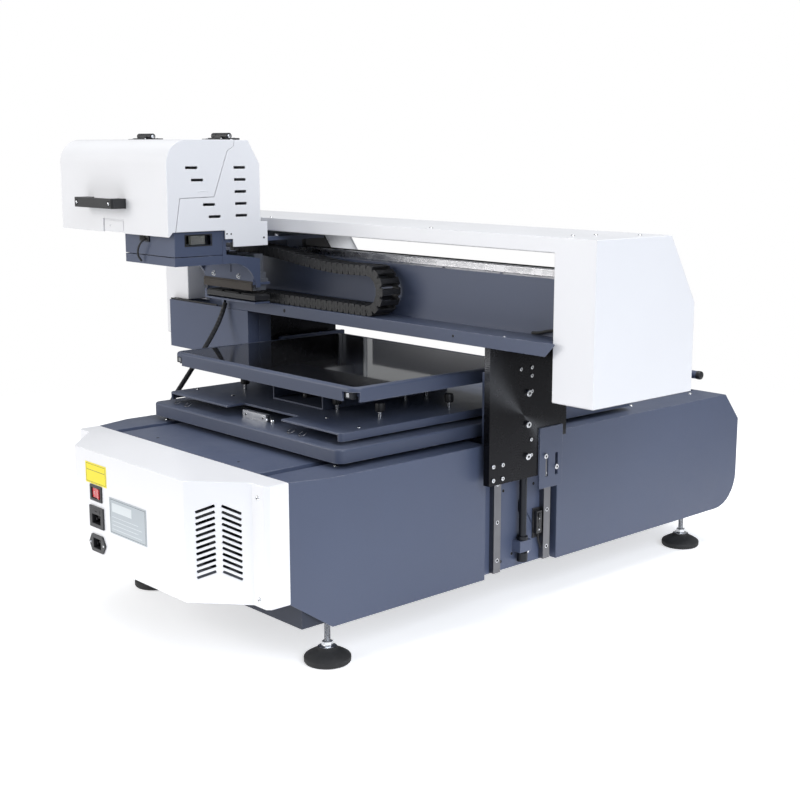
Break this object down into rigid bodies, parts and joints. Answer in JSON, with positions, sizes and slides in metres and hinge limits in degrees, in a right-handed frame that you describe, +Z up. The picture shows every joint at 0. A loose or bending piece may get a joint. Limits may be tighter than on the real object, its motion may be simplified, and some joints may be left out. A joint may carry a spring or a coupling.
{
  "type": "flatbed uv printer",
  "caption": "Flatbed UV printer: sliding table, lifting gantry with drip tray and drag chain, and a print carriage under a hinged hood.",
  "frame": {"origin": "centre of the footprint on the floor, under the middle of the base", "axes": "+X to the operator's right, +Y to the rear, +Z up; the operator stands at -Y"},
  "size_m": [1.032, 1.1134, 0.7335],
  "materials": {
    "white_paint": "satin",
    "grey_powder_coat": "matte",
    "black_steel": "satin",
    "aluminium": "satin",
    "bright_steel": "satin",
    "black_rubber": "matte",
    "black_plastic": "matte",
    "red_plastic": "gloss",
    "label": "satin",
    "black_glass": "polished",
    "lamp_blue": "satin",
    "ink_plastic": "satin"
  },
  "bodies": {
    "base": {"base_frame": "black_steel", "front_side_covers": "grey_powder_coat", "front_cover": "white_paint", "centre_top_cover": "grey_powder_coat", "rear_side_covers": "grey_powder_coat", "rear_cover": "grey_powder_coat", "column_plates": "aluminium", "lift_rails": "bright_steel", "stepper_motors": "black_steel", "foot_cups": "black_rubber", "foot_studs": "bright_steel", "power_switch_bezel": "black_plastic", "power_inlet": "black_plastic", "power_outlet": "black_plastic", "label_plates": "label", "table_rails": "bright_steel", "limit_switches": "black_plastic", "electronics": "ink_plastic", "fan_frames": "black_steel", "rear_grab_rail": "bright_steel", "cover_screws": "bright_steel"},
    "rocker": {"power_rocker": "red_plastic"},
    "fan_right": {"fan_rotor_right": "black_steel"},
    "fan_left": {"fan_rotor_left": "black_steel"},
    "lift_screw_r": {"lift_screw_right": "bright_steel"},
    "lift_screw_l": {"lift_screw_left": "bright_steel"},
    "table_spindle": {"table_screw": "bright_steel"},
    "table": {"table_plate": "black_steel", "table_blocks": "aluminium", "riser_plate": "black_steel", "table_fittings": "bright_steel", "platform_channel": "aluminium", "platform_frame": "black_steel", "platform_top": "black_glass"},
    "gantry": {"end_plates": "black_steel", "lift_blocks": "aluminium", "beam": "grey_powder_coat", "arch_cover": "white_paint", "drip_deck": "black_steel", "carriage_rail": "bright_steel", "cap_station": "black_steel", "gantry_rear_frame": "aluminium", "carriage_motor": "black_steel", "carriage_belt": "black_rubber", "drag_chain_lower": "black_plastic", "gantry_cable": "black_rubber"},
    "caps": {"cap_tray": "black_rubber"},
    "pulley_drive": {"drive_pulley": "bright_steel"},
    "pulley_idler": {"idler_pulley": "bright_steel"},
    "carriage": {"carriage_frame": "aluminium", "print_heads": "bright_steel", "lamp_box": "lamp_blue", "uv_lamp": "lamp_blue", "hood_rear": "white_paint", "hood_hinges": "bright_steel", "ink_tanks": "ink_plastic", "drag_chain_upper": "black_plastic"},
    "chain_loop": {"drag_chain_bend": "black_plastic"},
    "lid": {"hood_lid": "white_paint", "lid_handle": "black_plastic"}
  },
  "joints": [
    {"name": "power_rocker_tilt", "type": "hinge", "parent": "base", "child": "rocker", "pos_m": [-0.086, -0.5554, 0.214], "axis": [0, 0, 1], "range_deg": [0, 12]},
    {"name": "fan_right_spin", "type": "hinge", "parent": "base", "child": "fan_right", "pos_m": [0.17302, -0.51491, 0.193], "axis": [-0.6623, 0.7492, 0], "continuous": true},
    {"name": "fan_left_spin", "type": "hinge", "parent": "base", "child": "fan_left", "pos_m": [-0.17302, -0.51491, 0.193], "axis": [0.6623, 0.7492, 0], "continuous": true},
    {"name": "table_feed", "type": "slide", "parent": "base", "child": "table", "axis": [0, 1, 0], "range_m": [-0.185, 0.22]},
    {"name": "table_screw_spin", "type": "hinge", "parent": "base", "child": "table_spindle", "pos_m": [0, 0, 0.242], "axis": [0, -1, 0], "continuous": true},
    {"name": "gantry_lift", "type": "slide", "parent": "base", "child": "gantry", "axis": [0, 0, 1], "range_m": [-0.048, 0.06], "deforming": ["gantry_cable"]},
    {"name": "lift_screw_right_spin", "type": "hinge", "parent": "base", "child": "lift_screw_r", "pos_m": [0.267, -0.024, 0.1], "axis": [0, 0, -1], "continuous": true},
    {"name": "lift_screw_left_spin", "type": "hinge", "parent": "base", "child": "lift_screw_l", "pos_m": [-0.267, -0.024, 0.1], "axis": [0, 0, -1], "continuous": true},
    {"name": "cap_lift", "type": "slide", "parent": "gantry", "child": "caps", "axis": [0, 0, 1], "range_m": [0, 0.005]},
    {"name": "carriage_travel", "type": "slide", "parent": "gantry", "child": "carriage", "axis": [1, 0, 0], "range_m": [0, 0.58], "deforming": ["drag_chain_lower", "drag_chain_upper"]},
    {"name": "drive_pulley_spin", "type": "hinge", "parent": "gantry", "child": "pulley_drive", "pos_m": [0.412, -0.066, 0.548], "axis": [0, 0, 1], "continuous": true},
    {"name": "idler_pulley_spin", "type": "hinge", "parent": "gantry", "child": "pulley_idler", "pos_m": [-0.412, -0.066, 0.548], "axis": [0, 0, 1], "continuous": true},
    {"name": "chain_loop_travel", "type": "slide", "parent": "carriage", "child": "chain_loop", "axis": [1, 0, 0], "range_m": [-0.29, 0]},
    {"name": "hood_lid_hinge", "type": "hinge", "parent": "carriage", "child": "lid", "pos_m": [0, -0.243, 0.7285], "axis": [-1, 0, 0], "range_deg": [0, 75]}
  ],
  "couplings": [
    {"joint": "table_screw_spin", "follows": "table_feed", "rad_per_m": 628.32},
    {"joint": "lift_screw_right_spin", "follows": "gantry_lift", "rad_per_m": 1256.6},
    {"joint": "lift_screw_left_spin", "follows": "gantry_lift", "rad_per_m": 1256.6},
    {"joint": "drive_pulley_spin", "follows": "carriage_travel", "rad_per_m": 108.11},
    {"joint": "idler_pulley_spin", "follows": "carriage_travel", "rad_per_m": 108.11},
    {"joint": "chain_loop_travel", "follows": "carriage_travel", "ratio": -0.5}
  ]
}
